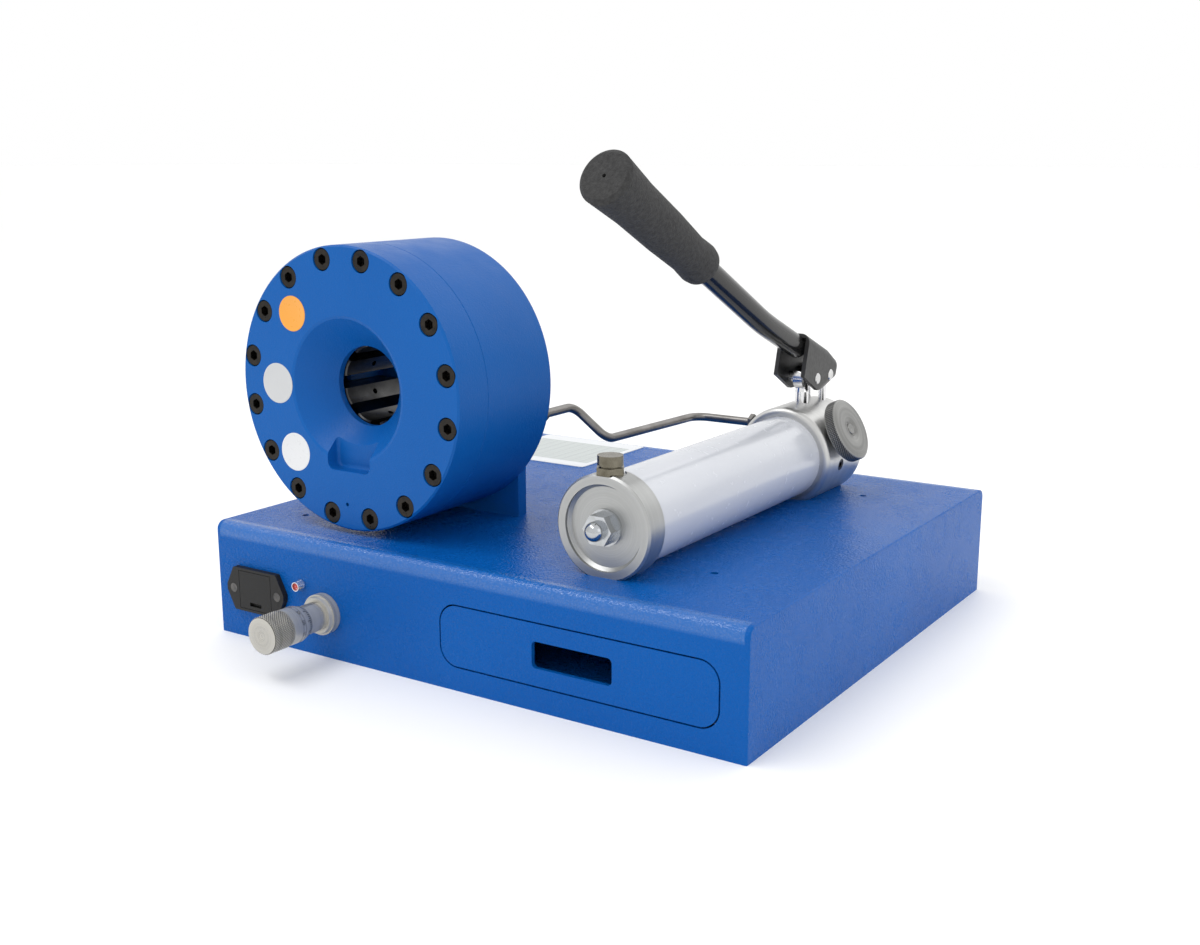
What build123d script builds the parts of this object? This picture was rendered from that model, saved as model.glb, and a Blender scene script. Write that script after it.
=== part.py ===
from build123d import *
import math
import os

# Hand-pumped hydraulic hose crimping machine, in millimetres.
# +X runs right along the front, +Y to the rear, +Z up.
# The origin is the centre of the bottom of the cabinet, on the resting plane.

# ---- cabinet
base_width = 400.0
base_depth = 372.0
base_height = 77.0
sheet = 3.0                 # thickness of the folded cover
side_sheet = 3.0            # thickness of the two end panels
panel_round = 1.0           # rounded outer edge of the end panels
floor_sheet = 3.0           # thickness of the bottom plate
bend_radius = 6.0           # outside radius of the two long bends
flange_width = 16.0         # folded-in lip that the bottom plate screws to
plate_clearance = 0.2       # bottom plate to the walls around it
floor_screw_radius = 2.0
floor_screw_inset = 25.0    # from the inside of the end panels
top_hole_radius = 2.4
# end (-1 left, 1 right), inset from that end, side (-1 front, 1 rear), inset from that side
top_holes = [(1, 62.8, -1, 76.4), (1, 65.4, 1, 68.7), (-1, 39.5, -1, 43.7)]

# ---- drawer in the front
drawer_width = 190.0
drawer_height = 38.0
drawer_corner = 12.0
drawer_gap = 1.0            # groove round the drawer front
drawer_center_z = 34.7
drawer_front_thick = 3.0
drawer_depth = 250.0
drawer_wall = 1.5
drawer_box_clearance = 3.0  # tray narrower than the front, each side
finger_width = 55.0
finger_height = 16.4
finger_corner = 3.0
runner_wall = 1.5
runner_foot = 12.0
runner_gap = 0.3            # runner to the side of the tray

# ---- mains inlet
inlet_inset = 37.7          # from the left end of the cabinet
inlet_z = 34.5
inlet_width = 52.0
inlet_height = 29.5
inlet_cut = 6.5             # how far the pointed ends reach beyond the long edges
inlet_tip = 4.0             # height of the blunt tip at each end
inlet_proud = 4.0
inlet_body_width = 30.0
inlet_body_height = 26.0
inlet_body_depth = 24.0
inlet_screw_spacing = 40.0
inlet_screw_radius = 1.5
socket_width = 24.5
socket_height = 10.5
socket_rise = 6.0           # socket centre above the flange centre
socket_depth = 20.0
contact_size = (1.6, 4.2)
contact_pitch = 7.0
contact_length = 13.0
fuse_width = 18.0
fuse_height = 7.0
fuse_drop = 7.6             # fuse carrier centre below the flange centre
fuse_depth = 20.0
flap_width = 28.6           # front plate of the fuse carrier, which closes over the socket
flap_height = 25.4
flap_thick = 2.4
flap_gap = 0.35
pry_width = 10.5
pry_height = 2.6
pry_rise = 3.4              # slot centre above the bottom of the plate
slip_gap = 0.1              # plastic slides

# ---- lamp
lamp_inset = 76.5
lamp_z = 45.2
lamp_stem_radius = 3.0
lamp_rim_radius = 4.2
lamp_rim_thick = 1.0
lamp_nose_radius = 3.0
lamp_proud = 5.5
lamp_lens_radius = 2.5

# ---- micrometer that sets the crimping diameter
dial_inset = 96.5
dial_z = 30.0
dial_flange_radius = 13.3
dial_flange_length = 8.0
dial_sleeve_radius = 9.4
thimble_radius = 11.7
knurl_radius = 12.1
knurl_length = 16.5
thimble_start = 21.0        # front face of the cabinet to the open end of the thimble
thimble_length = 33.6
thimble_bevel = 6.0
spindle_radius = 3.5
dial_travel = 6.0
running_gap = 0.05          # radial clearance of shafts and pistons

# ---- crimping head
head_inset = 100.5          # head axis from the left end of the cabinet
head_setback = 23.0         # cabinet front to head front
head_gap = 3.0              # cabinet top to the bottom of the head
head_radius = 91.0
cover_thick = 29.0
body_length = 67.3
wall_radius = 74.0          # bore that the ring piston slides in
rear_wall = 10.0
hub_outer = 50.0
hub_inner = 46.0
hub_length = 32.3
rear_opening = 31.0         # round opening through the rear wall
seam_break = 0.4            # small bevels where the cover meets the body
screw_circle_radius = 83.0
screw_count = 16
screw_radius = 4.0
screw_head_radius = 6.5
screw_head_height = 8.0
counterbore_radius = 7.3
counterbore_depth = 8.6
screw_bite = 15.0
hex_socket = 6.0            # across flats
cone_mouth_radius = 46.0
cone_depth = 21.5
throat_radius = 26.0
die_recess_depth = 3.3      # pocket behind the cover that the dies reach into
die_recess_radius = 45.0
pin_hole_radius = 1.3
pin_hole_depth = 6.0
pin_hole_offset = (-2.5, -74.2)
notch_half_width = 18.0
notch_bottom = 52.5         # below the head axis
notch_depth = 10.0
notch_fillet = 5.0
edge_break = 1.2

# ---- closing mechanism
segment_count = 8
jaw_stroke = 10.0
ring_stroke = 20.0
closed_bore_radius = 14.5
die_thick = 15.5
side_gap = 0.3              # half of the gap between closed neighbours
jaw_face_gap = 0.3          # jaw to the inner face of the cover
jaw_cone_radius = 62.0      # closed, at the front
jaw_cone_length = 23.2
jaw_tail_thick = 5.4
jaw_length = 50.7
die_nose = 3.3              # die in front of its jaw
die_length = 52.0
die_chamfer = 0.8
die_hole_radius = 1.9
ring_length = 36.5
seal_width = 3.0
seal_depth = 2.4
seal_set = 4.5              # seal groove to the rear of the ring
spring_radius = 2.4
spring_pocket_radius = 2.8
spring_pocket_depth = 8.5   # in the even jaws; deeper in the odd ones, so that the spring can slide in
spring_end_gap = 0.5
spring_reach = 46.0         # along the closed side of a jaw
spring_set = 12.0           # behind the front of the jaw

# ---- foot of the head
foot_half_width = 62.6
foot_thick = 9.0
foot_height = 54.0
foot_hole_radius = 48.0     # scallop round the opening in the rear of the head
foot_corner = 8.0
foot_screw_spread = 50.0    # screws from the rear into the head, to each side
foot_screw_drop = 62.0      # below the head axis

# ---- hand pump
pump_inset = 112.7          # pump and drawer from the right end of the cabinet
pump_rise = 29.4            # axis above the cabinet top
cap_radius = 32.0
cap_front_y = -153.2
cap_length = 16.6
cap_recess_radius = 26.0
cap_recess_depth = 4.0
tube_radius = 29.1
tube_wall = 2.5
spigot_length = 9.0
spigot_gap = 0.1
block_front_y = 80.5
block_radius = 35.4
block_length = 60.5
block_round = 4.2           # rounded front edge of the block
tie_rod_radius = 5.0
tie_rod_bite = 11.0
nut_flats = 17.0
nut_height = 8.0
nut_neck = 2.0
dome_radius = 5.9
washer_radius = 11.0
washer_thick = 2.2
plug_y = -144.9
plug_stem_radius = 3.5
plug_bite = 9.0
plug_flats = 15.5
plug_hex_height = 4.4
plug_top_radius = 7.6
plug_top_height = 7.0
mount_screw_radius = 3.0
mount_screw_head = 5.0
mount_screw_head_height = 5.0
mount_screw_bite = 12.0
screw_fit = 0.05

# ---- release valve on the side of the pump block
valve_y = 106.0
valve_angle = 27.0
knob_radius = 22.5
knob_thick = 9.0
knob_standoff = 2.0
knob_chamfer = 1.4
knob_recess_radius = 6.0
knob_recess_depth = 1.5
valve_stem_radius = 3.0
valve_stem_bite = 20.4
relief_angle = -9.0
relief_y = 104.0
relief_radius = 4.2
relief_bite = 9.0

# ---- lever and pump piston
fulcrum_y = 132.5
pin_rise = 18.1             # pins above the top of the pump block
pin_spacing = 22.3
pin_radius = 4.0
piston_radius = 5.0
piston_depth = 38.0         # below the top of the block
piston_room = 9.5           # bore below the piston at rest
piston_shoulder = 8.0       # straight part above the block
piston_cone = 7.0
piston_eye_radius = 8.4
piston_eye_thick = 7.0
pin_slip = 0.25             # slot above and below the driving pin
pin_run = 1.75              # slot before and behind the driving pin
link_radius = 2.8
link_offset = 5.9
link_eye_radius = 7.0
link_eye_thick = 4.0
link_socket = 12.0
cheek_half_width = 12.0
cheek_thick = 3.0
lever_radius = 8.0
lever_wall = 1.5
lever_foot_ahead = 32.5     # lower end of the lever's axis, ahead of the fulcrum
lever_foot_rise = 23.1      # and above the pins
lever_lower_run = 60.0
lever_lower_slope = 22.0
lever_upper_run = 214.0
lever_upper_slope = 26.9
lever_bend_radius = 300.0
grip_length = 120.0
grip_end_radius = 16.8
grip_waist_radius = 14.8
grip_neck_radius = 12.8
grip_lip_radius = 13.7
grip_hole_radius = 1.2
grip_hole_depth = 3.0
grip_end_wall = 6.0

# ---- pressure pipe from the pump to the head
pipe_radius = 3.0
pipe_bend = 11.0
port_radius_at = 82.5       # port centre from the head axis
port_angle = -16.1
pipe_lead = 42.0            # straight out of the head before the first bend
pipe_drop_x = 20.7          # from the first bend to the second
pipe_drop_y = 11.0
pipe_fall = 2.0             # second bend above the port in the pump block
pipe_side_step = 2.1        # second bend to the third
block_port_rise = 17.4      # above the pump axis
block_port_set = 25.5       # behind the front of the pump block
fitting_radius = 4.5
fitting_flats = 11.0
fitting_hex = 3.0
fitting_out = 7.5

# ---- places worked out from the sizes above
front_y = -base_depth / 2
half_width = base_width / 2
head_x = head_inset - half_width
pump_x = half_width - pump_inset
inlet_x = inlet_inset - half_width
lamp_x = lamp_inset - half_width
dial_x = dial_inset - half_width
inside_half = half_width - side_sheet
head_z = base_height + head_gap + head_radius
head_y = front_y + head_setback
head_rear_y = head_y + cover_thick + body_length
pump_z = base_height + pump_rise
cap_rear_y = cap_front_y + cap_length
block_rear_y = block_front_y + block_length
piston_y = fulcrum_y - pin_spacing
block_top = pump_z + block_radius
pin_z = block_top + pin_rise
drive_ratio = jaw_stroke / ring_stroke
half_sector = 180.0 / segment_count

centered = (Align.CENTER, Align.CENTER, Align.MIN)


def save(name, *solids):
    shape = solids[0] if len(solids) == 1 else Compound(children=list(solids))
    export_step(shape, f"parts/{name}.step")


def rod(radius, length, at, along):
    """A cylinder that starts at a point and runs along a direction."""
    return Plane(origin=at, z_dir=along) * Cylinder(radius, length, align=centered)


def block(size_x, size_y, size_z, at):
    """A box centred in X and Y on a point, standing on it."""
    return Pos(*at) * Box(size_x, size_y, size_z, align=centered)


def turned(profile, at, along=(0, 1, 0), side=(0, 0, 1)):
    """A closed profile of (distance along, radius) turned about its axis."""
    normal = Vector(*along).cross(Vector(*side))
    plane = Plane(origin=at, x_dir=along, z_dir=normal)
    return revolve(plane * make_face(Polyline(*profile, close=True)), axis=Axis(at, along))


def tube_solid(outer, inner, length, at, along):
    return rod(outer, length, at, along) - rod(inner, length, at, along)


def front_outline(sketch, x, y, z, depth):
    """A sketch in X and Z, run rearwards from y."""
    plane = Plane(origin=(x, y, z), x_dir=(1, 0, 0), z_dir=(0, -1, 0))
    return extrude(plane * sketch, amount=-depth)


def side_outline(points, x, half, corners=()):
    """A closed outline in Y and Z, run to both sides of x; corners gives (index, radius) pairs."""
    plane = Plane(origin=(x, 0, 0), x_dir=(0, 1, 0), z_dir=(1, 0, 0))
    face = make_face(Polyline(*points, close=True))
    for index, radius in corners:
        spot = Vector(points[index][0], points[index][1], 0)
        corner = face.vertices().sort_by_distance(spot)[0]
        face = fillet(corner, radius)
    return extrude(plane * face, amount=half, both=True)


def hexagon(flats, height, at, along, turn=0.0):
    plane = Plane(origin=at, z_dir=along)
    return extrude(plane * RegularPolygon(flats / math.sqrt(3), 6, rotation=turn), amount=height)


def polar(angle, reach):
    """X and Z offsets at an angle above +X."""
    turn = math.radians(angle)
    return reach * math.cos(turn), reach * math.sin(turn)


def cap_screw(radius, head_radius_, head_height, length, at, along, flats, socket_depth_):
    """A socket screw whose head starts at a point, with the head's top there."""
    screw = rod(head_radius_, head_height, at, along)
    screw += rod(radius, head_height + length, at, along)
    return screw - hexagon(flats, socket_depth_, at, along)


# ---------------------------------------------------------------- cabinet
def cabinet_section(inset, height, radius):
    """Front-to-rear section of the cabinet with its two rounded top corners."""
    half = base_depth / 2 - inset
    return [(-half, 0), (-half, height), (half, height), (half, 0)], [(1, radius), (2, radius)]


def make_cover():
    points, corners = cabinet_section(0, base_height, bend_radius)
    cover = side_outline(points, 0, inside_half, corners)
    points, corners = cabinet_section(sheet, base_height - sheet, bend_radius - sheet)
    cover -= side_outline(points, 0, inside_half, corners)
    for side in (-1, 1):
        y = side * (base_depth / 2 - sheet - flange_width / 2)
        cover += block(2 * inside_half, flange_width, sheet, (0, y, floor_sheet))
    opening = RectangleRounded(drawer_width + 2 * drawer_gap, drawer_height + 2 * drawer_gap,
                               drawer_corner + drawer_gap)
    cover -= front_outline(opening, pump_x, front_y, drawer_center_z, sheet)
    inlet_hole = Rectangle(inlet_body_width + 2 * slip_gap, inlet_body_height + 2 * slip_gap)
    cover -= front_outline(inlet_hole, inlet_x, front_y, inlet_z, sheet)
    for side in (-1, 1):
        x = inlet_x + side * inlet_screw_spacing / 2
        cover -= rod(inlet_screw_radius + screw_fit, sheet, (x, front_y, inlet_z), (0, 1, 0))
    cover -= rod(lamp_stem_radius + screw_fit, sheet, (lamp_x, front_y, lamp_z), (0, 1, 0))
    cover -= rod(dial_sleeve_radius + screw_fit, sheet, (dial_x, front_y, dial_z), (0, 1, 0))
    for end, inset_x, side, inset_y in top_holes:
        x = end * (half_width - inset_x)
        y = side * (base_depth / 2 - inset_y)
        cover -= rod(top_hole_radius, sheet, (x, y, base_height - sheet), (0, 0, 1))
    for x, y in mount_points():
        cover -= rod(mount_screw_radius + screw_fit, sheet, (x, y, base_height - sheet), (0, 0, 1))
    for x, y in floor_screw_points():
        cover -= rod(floor_screw_radius + screw_fit, sheet, (x, y, floor_sheet), (0, 0, 1))
    return cover


def floor_screw_points():
    x = inside_half - floor_screw_inset
    y = base_depth / 2 - sheet - flange_width / 2
    return [(sx * x, sy * y) for sx in (-1, 0, 1) for sy in (-1, 1)]


def mount_points():
    """Screws that come up through the cabinet top into the foot, the cap and the pump block."""
    foot_y = head_rear_y + foot_thick / 2
    points = [(head_x + offset, foot_y) for offset in (-0.7 * foot_half_width, 0.7 * foot_half_width)]
    points.append((pump_x, cap_rear_y - cap_length / 2))
    points.append((pump_x, block_front_y + block_length / 4))
    points.append((pump_x, block_rear_y - block_length / 6))
    return points


def make_cabinet():
    save("base_cover", make_cover())
    points, corners = cabinet_section(0, base_height, bend_radius)
    panels = []
    for side in (-1, 1):
        panel = side_outline(points, side * (half_width - side_sheet / 2), side_sheet / 2, corners)
        outer = panel.faces().sort_by(Axis.X)[-1 if side > 0 else 0]
        rim = [edge for edge in outer.edges() if edge.center().Z > 1]
        panels.append(fillet(rim, panel_round))
    save("end_panels", *panels)
    plate = block(2 * (inside_half - plate_clearance), base_depth - 2 * (sheet + plate_clearance),
                  floor_sheet, (0, 0, 0))
    screws = []
    for x, y in floor_screw_points():
        profile = [(0, 0), (0, 2 * floor_screw_radius), (floor_screw_radius, floor_screw_radius),
                   (floor_sheet + sheet, floor_screw_radius), (floor_sheet + sheet, 0)]
        seat = [(0, 0), (0, 2 * floor_screw_radius + screw_fit),
                (floor_screw_radius, floor_screw_radius + screw_fit),
                (floor_sheet, floor_screw_radius + screw_fit), (floor_sheet, 0)]
        screws.append(turned(profile, (x, y, 0), (0, 0, 1), (1, 0, 0)))
        plate -= turned(seat, (x, y, 0), (0, 0, 1), (1, 0, 0))
    save("bottom_plate", plate)
    save("bottom_screws", *screws)


# ---------------------------------------------------------------- drawer
def make_drawer():
    plate = RectangleRounded(drawer_width, drawer_height, drawer_corner)
    plate -= RectangleRounded(finger_width, finger_height, finger_corner)
    save("drawer_front", front_outline(plate, pump_x, front_y, drawer_center_z, drawer_front_thick))

    width = drawer_width - 2 * drawer_box_clearance
    height = drawer_height - 2 * drawer_box_clearance
    bottom = drawer_center_z - height / 2
    middle_y = front_y + drawer_front_thick + drawer_depth / 2
    tray = block(width, drawer_depth, height, (pump_x, middle_y, bottom))
    tray -= block(width - 2 * drawer_wall, drawer_depth - drawer_wall, height,
                  (pump_x, middle_y - drawer_wall / 2, bottom + drawer_wall))
    save("drawer_tray", tray)

    runners = []
    for side in (-1, 1):
        inner = width / 2 + runner_gap
        rail_y = middle_y + sheet
        web = block(runner_wall, drawer_depth, bottom + height / 2 - floor_sheet,
                    (pump_x + side * (inner + runner_wall / 2), rail_y, floor_sheet))
        shelf = block(runner_foot, drawer_depth, runner_wall,
                      (pump_x + side * (inner + runner_wall - runner_foot / 2), rail_y,
                       bottom - runner_gap - runner_wall))
        foot = block(runner_foot, drawer_depth - 2 * flange_width, runner_wall,
                     (pump_x + side * (inner + runner_foot / 2), rail_y, floor_sheet))
        lip = block(runner_foot + runner_wall + inner, flange_width + 2 * sheet, sheet + runner_gap,
                    (pump_x + side * inner, front_y + sheet + flange_width / 2, floor_sheet))
        runners.append(web + shelf + foot - lip)
    save("drawer_runners", *runners)


# ---------------------------------------------------------------- mains inlet and lamp
def make_inlet():
    half_x, half_z, tip = inlet_width / 2, inlet_height / 2, inlet_tip / 2
    edge = half_x - inlet_cut
    outline = make_face(Polyline(
        (-edge, -half_z), (edge, -half_z), (half_x, -tip), (half_x, tip), (edge, half_z),
        (-edge, half_z), (-half_x, tip), (-half_x, -tip), close=True))
    outline = fillet(outline.vertices(), 1.5)
    inlet = front_outline(outline, inlet_x, front_y - inlet_proud, inlet_z, inlet_proud)
    inlet += front_outline(Rectangle(inlet_body_width, inlet_body_height), inlet_x, front_y, inlet_z,
                           inlet_body_depth)
    socket = RectangleRounded(socket_width, socket_height, 2.5)
    inlet -= front_outline(socket, inlet_x, front_y - inlet_proud, inlet_z + socket_rise, socket_depth)
    flap_bay = Rectangle(flap_width + 2 * flap_gap, flap_height + 2 * flap_gap)
    inlet -= front_outline(flap_bay, inlet_x, front_y - inlet_proud, inlet_z, flap_thick)
    bay = Rectangle(fuse_width + 2 * slip_gap, fuse_height + 2 * slip_gap)
    inlet -= front_outline(bay, inlet_x, front_y - inlet_proud, inlet_z - fuse_drop,
                           fuse_depth + slip_gap)
    screws = []
    for side in (-1, 1):
        x = inlet_x + side * inlet_screw_spacing / 2
        inlet -= rod(inlet_screw_radius + screw_fit, inlet_proud, (x, front_y - inlet_proud, inlet_z),
                     (0, 1, 0))
        inlet -= rod(2 * inlet_screw_radius + slip_gap, inlet_screw_radius,
                     (x, front_y - inlet_proud, inlet_z), (0, 1, 0))
        screw = rod(2 * inlet_screw_radius, inlet_screw_radius,
                    (x, front_y - inlet_proud, inlet_z), (0, 1, 0))
        screw += rod(inlet_screw_radius, inlet_proud + 2 * sheet, (x, front_y - inlet_proud, inlet_z),
                     (0, 1, 0))
        screws.append(screw)
    save("power_inlet", inlet)
    save("inlet_screws", *screws)

    contacts = []
    for column, drop in ((-1, 0), (0, 1), (1, 0)):
        contacts.append(front_outline(
            Rectangle(*contact_size), inlet_x + column * contact_pitch,
            front_y - inlet_proud + socket_depth - contact_length,
            inlet_z + socket_rise - 1.0 * drop, contact_length))
    save("inlet_contacts", *contacts)

    face_y = front_y - inlet_proud
    carrier = front_outline(Rectangle(fuse_width, fuse_height), inlet_x, face_y, inlet_z - fuse_drop,
                            fuse_depth)
    carrier += front_outline(Rectangle(flap_width, flap_height), inlet_x, face_y, inlet_z, flap_thick)
    pull = front_outline(Rectangle(pry_width, pry_height), inlet_x, face_y,
                         inlet_z - flap_height / 2 + pry_rise, flap_thick)
    save("fuse_carrier", carrier - pull)

    at = (lamp_x, front_y - lamp_proud, lamp_z)
    length = lamp_proud + 3 * sheet
    rim = lamp_proud - lamp_rim_thick
    bezel = turned([(0, lamp_lens_radius + slip_gap / 2), (0, lamp_nose_radius), (rim, lamp_rim_radius),
                    (lamp_proud, lamp_rim_radius), (lamp_proud, lamp_stem_radius),
                    (length, lamp_stem_radius), (length, lamp_lens_radius + slip_gap / 2)], at)
    save("lamp_bezel", bezel)
    dome = 0.8
    lens = turned([(0.6, 0), (0.6 + dome, lamp_lens_radius), (length, lamp_lens_radius), (length, 0)], at)
    save("lamp_lens", lens)


# ---------------------------------------------------------------- micrometer
def make_micrometer():
    at = (dial_x, front_y, dial_z)
    out = (0, -1, 0)
    flange = turned([(0, dial_sleeve_radius), (0, dial_flange_radius),
                     (dial_flange_length - 2.6, dial_flange_radius),
                     (dial_flange_length - 2.6, dial_flange_radius - 0.8),
                     (dial_flange_length, dial_flange_radius - 1.6),
                     (dial_flange_length, dial_sleeve_radius)], at, out)
    save("micrometer_flange", flange)
    bore = spindle_radius + running_gap
    sleeve_out = thimble_start + thimble_length / 2 + dial_travel / 2
    sleeve = turned([(-4 * sheet, bore), (-4 * sheet, dial_sleeve_radius),
                     (sleeve_out, dial_sleeve_radius), (sleeve_out, bore)], at, out)
    save("micrometer_sleeve", sleeve)
    end = thimble_start + thimble_length
    spindle_end = end - knurl_length / 2
    save("micrometer_spindle", rod(spindle_radius, spindle_end + 8 * sheet,
                                   (dial_x, front_y + 8 * sheet, dial_z), out))
    hollow = dial_sleeve_radius + 2 * running_gap
    bottom = sleeve_out + dial_travel + running_gap
    thimble = turned([(thimble_start, hollow), (thimble_start, hollow + 0.4),
                      (thimble_start + thimble_bevel, thimble_radius),
                      (end - knurl_length, thimble_radius), (end - knurl_length, knurl_radius),
                      (end - edge_break, knurl_radius), (end, knurl_radius - edge_break), (end, 0),
                      (spindle_end, 0), (spindle_end, bore), (bottom, bore), (bottom, hollow)], at, out)
    save("micrometer_thimble", thimble)


# ---------------------------------------------------------------- crimping head
def screw_places():
    step = 360.0 / screw_count
    for number in range(screw_count):
        yield polar(90 + step / 2 + number * step, screw_circle_radius)


def make_head():
    at = (head_x, head_y, head_z)
    bottom = cover_thick - die_recess_depth
    cover = turned([
        (edge_break / 2, cone_mouth_radius - edge_break / 2), (0, cone_mouth_radius + edge_break),
        (0, head_radius - edge_break), (edge_break, head_radius),
        (cover_thick - seam_break, head_radius), (cover_thick, head_radius - seam_break),
        (cover_thick, die_recess_radius), (bottom, die_recess_radius), (bottom, throat_radius),
        (cone_depth, throat_radius)], at)
    notch = block(2 * notch_half_width, 2 * notch_depth, notch_bottom,
                  (head_x, head_y, head_z - notch_bottom))
    corner = [edge for edge in notch.edges().filter_by(Axis.Y)
              if edge.center().Z < head_z - notch_bottom + 1]
    notch = fillet(corner, notch_fillet)
    heel = [edge for edge in notch.edges() if edge.center().Y > head_y + notch_depth - 1
            and edge.center().Z < head_z - notch_bottom + 2 * notch_fillet]
    notch = fillet(heel, notch_fillet / 2)
    cover -= notch
    body_y = head_y + cover_thick
    rear = body_length
    inner_end = body_length - rear_wall
    body = turned([
        (0, wall_radius), (0, head_radius - seam_break), (seam_break, head_radius),
        (rear - edge_break, head_radius), (rear, head_radius - edge_break), (rear, rear_opening),
        (inner_end, rear_opening), (inner_end, hub_inner), (inner_end - hub_length, hub_inner),
        (inner_end - hub_length, hub_outer),
        (inner_end, hub_outer), (inner_end, wall_radius)], (head_x, body_y, head_z))
    screws = []
    for x, z in screw_places():
        spot = (head_x + x, head_y, head_z + z)
        cover -= rod(counterbore_radius, counterbore_depth, spot, (0, 1, 0))
        cover -= rod(screw_radius + screw_fit, cover_thick, spot, (0, 1, 0))
        body -= rod(screw_radius + screw_fit, screw_bite + 2, (spot[0], body_y, spot[2]), (0, 1, 0))
        sunk = counterbore_depth - screw_head_height
        screws.append(cap_screw(screw_radius, screw_head_radius, screw_head_height,
                                cover_thick - counterbore_depth + screw_bite,
                                (spot[0], head_y + sunk, spot[2]), (0, 1, 0), hex_socket, 4.5))
    x, z = polar(port_angle, port_radius_at)
    body -= rod(fitting_radius + screw_fit, rear_wall, (head_x + x, head_rear_y - rear_wall, head_z + z),
                (0, 1, 0))
    cover -= rod(pin_hole_radius, pin_hole_depth, (head_x + pin_hole_offset[0], head_y,
                                                   head_z + pin_hole_offset[1]), (0, 1, 0))
    save("head_cover", cover)
    save("head_screws", *screws)

    plate = Pos(0, foot_height / 2) * Rectangle(2 * foot_half_width, foot_height)
    plate = fillet(plate.vertices().group_by(Axis.Y)[-1], foot_corner)
    plate -= Pos(0, head_z - base_height) * Circle(foot_hole_radius)
    foot = front_outline(plate, head_x, head_rear_y, base_height, foot_thick)
    for x, y in mount_points()[:2]:
        foot -= rod(mount_screw_radius + screw_fit, mount_screw_bite + 1, (x, y, base_height), (0, 0, 1))
    for x, z in foot_screw_points():
        hole = rod(mount_screw_radius + screw_fit, foot_thick + mount_screw_bite + 1,
                   (x, head_rear_y + foot_thick, z), (0, -1, 0))
        foot -= hole
        body -= hole
    save("head_body", body)
    save("head_foot_plate", foot)


def foot_screw_points():
    return [(head_x + side * foot_screw_spread, head_z - foot_screw_drop) for side in (-1, 1)]


# ---------------------------------------------------------------- ring piston, jaws and dies
def ring_cone_start():
    """Where the cone of the open ring begins, behind the inner face of the cover."""
    return ring_stroke + 0.5


def make_ring():
    at = (head_x, head_y + cover_thick, head_z)
    front = ring_cone_start()
    wide = jaw_cone_radius + jaw_stroke - drive_ratio * (front - jaw_face_gap) + running_gap
    narrow = hub_outer + running_gap
    outer = wall_radius - running_gap
    end = front + ring_length
    seal_to = end - seal_set
    seal_from = seal_to - seal_width
    cone_end = front + (wide - narrow) / drive_ratio
    ring = turned([
        (front, wide), (front, outer), (seal_from, outer), (seal_from, outer - seal_depth),
        (seal_to, outer - seal_depth), (seal_to, outer), (end, outer), (end, narrow),
        (seal_to, narrow), (seal_to, narrow + seal_depth), (seal_from, narrow + seal_depth),
        (seal_from, narrow), (cone_end, narrow)], at)
    save("ring_piston", ring)
    outer_seal = turned([(seal_from, outer - seal_depth), (seal_from, outer), (seal_to, outer),
                         (seal_to, outer - seal_depth)], at)
    inner_seal = turned([(seal_from, narrow), (seal_from, narrow + seal_depth),
                         (seal_to, narrow + seal_depth), (seal_to, narrow)], at)
    save("piston_seals", outer_seal, inner_seal)


def sector(start, length):
    """A wedge one segment wide that points along +X, thinned by the gap on both sides."""
    apex = side_gap / math.sin(math.radians(half_sector))
    reach = 2 * head_radius
    rise = (reach - apex) * math.tan(math.radians(half_sector))
    wedge = make_face(Polyline((apex, 0), (reach, -rise), (reach, rise), close=True))
    return front_outline(wedge, head_x, head_y + start, head_z, length)


def spring_pocket(side, radius, inset, length):
    """A round pocket square to one closed side of the segment that points along +X."""
    turn = math.radians(side * half_sector)
    normal = (-side * math.sin(turn), 0, side * math.cos(turn))
    edge_x = spring_reach * math.cos(turn) - inset * normal[0]
    edge_z = spring_reach * math.sin(turn) - inset * normal[2]
    spot = (head_x + edge_x, head_y + cover_thick + jaw_face_gap + spring_set, head_z + edge_z)
    return rod(radius, length, spot, normal)


def place(shape, number):
    """Moves a closed segment outwards to its open place, then round to its own angle."""
    angle = half_sector + number * 2 * half_sector
    opened = Pos(jaw_stroke, 0, 0) * shape
    return opened.rotate(Axis((head_x, head_y, head_z), (0, 1, 0)), -angle)


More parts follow.
